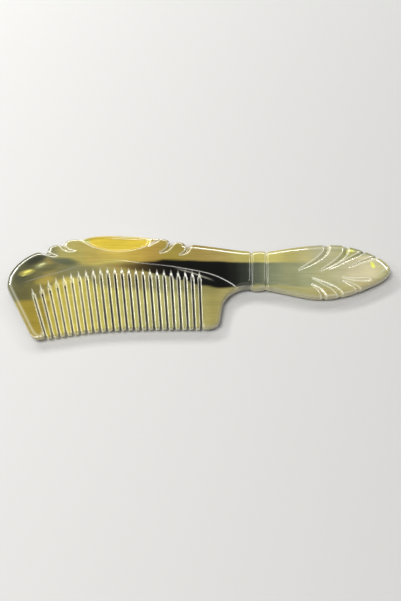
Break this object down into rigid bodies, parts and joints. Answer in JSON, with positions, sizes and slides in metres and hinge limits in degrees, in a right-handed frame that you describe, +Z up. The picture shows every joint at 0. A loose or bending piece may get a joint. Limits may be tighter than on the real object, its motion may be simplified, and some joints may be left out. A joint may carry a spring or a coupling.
{
  "type": "hair comb",
  "caption": "Flat handled hair comb of polished horn with a scalloped spine, a thumb dish, fine sawn teeth between two broad end teeth, a ringed neck and a leaf-shaped carved handle.",
  "frame": {"origin": "under the middle of the comb's box, on the flat underside that it lies on", "axes": "+X along the comb to the tip of the handle, -Y the way the teeth point, +Z up through the thickness"},
  "size_m": [0.1911, 0.0644, 0.0056],
  "materials": {
    "spine_horn": "polished translucent horn, pale olive-yellow along the crest, with a dark streak",
    "band_horn": "polished horn, smoky grey-green, nearly black towards the neck",
    "guard_horn": "polished horn, ochre to olive",
    "tooth_horn": "polished translucent horn, pale yellow",
    "handle_horn": "polished translucent horn, grey-green with ochre and pale strips"
  },
  "bodies": {
    "root": {"spine": "spine_horn", "root_band": "band_horn", "front_guard_tooth": "guard_horn", "rear_guard_tooth": "guard_horn", "tooth_01": "tooth_horn", "tooth_02": "tooth_horn", "tooth_03": "tooth_horn", "tooth_04": "tooth_horn", "tooth_05": "tooth_horn", "tooth_06": "tooth_horn", "tooth_07": "tooth_horn", "tooth_08": "tooth_horn", "tooth_09": "tooth_horn", "tooth_10": "tooth_horn", "tooth_11": "tooth_horn", "tooth_12": "tooth_horn", "tooth_13": "tooth_horn", "tooth_14": "tooth_horn", "tooth_15": "tooth_horn", "tooth_16": "tooth_horn", "tooth_17": "tooth_horn", "tooth_18": "tooth_horn", "tooth_19": "tooth_horn", "tooth_20": "tooth_horn", "tooth_21": "tooth_horn", "tooth_22": "tooth_horn", "tooth_23": "tooth_horn", "neck_collar": "handle_horn", "handle": "handle_horn"}
  },
  "joints": []
}
